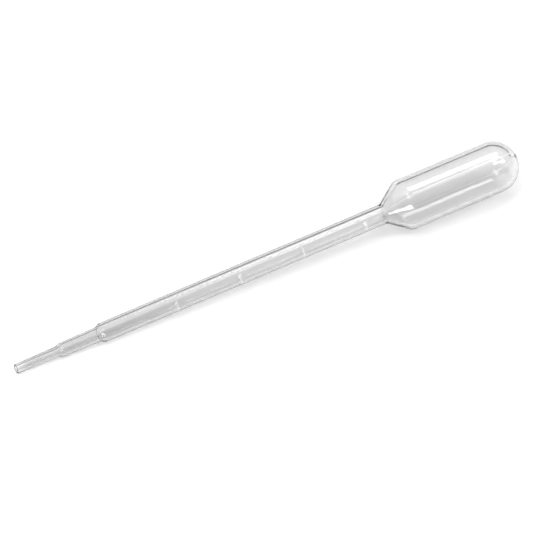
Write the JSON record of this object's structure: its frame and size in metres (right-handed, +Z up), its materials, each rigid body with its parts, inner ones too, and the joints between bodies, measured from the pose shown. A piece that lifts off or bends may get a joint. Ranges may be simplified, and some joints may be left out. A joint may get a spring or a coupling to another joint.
{
  "type": "plastic dropper pipette",
  "caption": "Clear one-piece blow-moulded dropper pipette with a round-ended squeeze bulb, a graduated stem and a fine stepped tip.",
  "frame": {"origin": "bottom centre of the bounding box of the pipette, which lies on the shoulder of its bulb and the foot of its stem", "axes": "+X from the open tip towards the bulb, +Z up, and -Y the side of the mould half that has the graduation marks; the pipette's own axis rises 2.8 degrees towards the bulb"},
  "size_m": [0.155, 0.0144, 0.0157],
  "materials": {
    "clear_polyethylene": "clear, slightly wavy moulded surface with a soft gloss"
  },
  "bodies": {
    "root": {"pipette_body": "clear_polyethylene"}
  },
  "joints": []
}
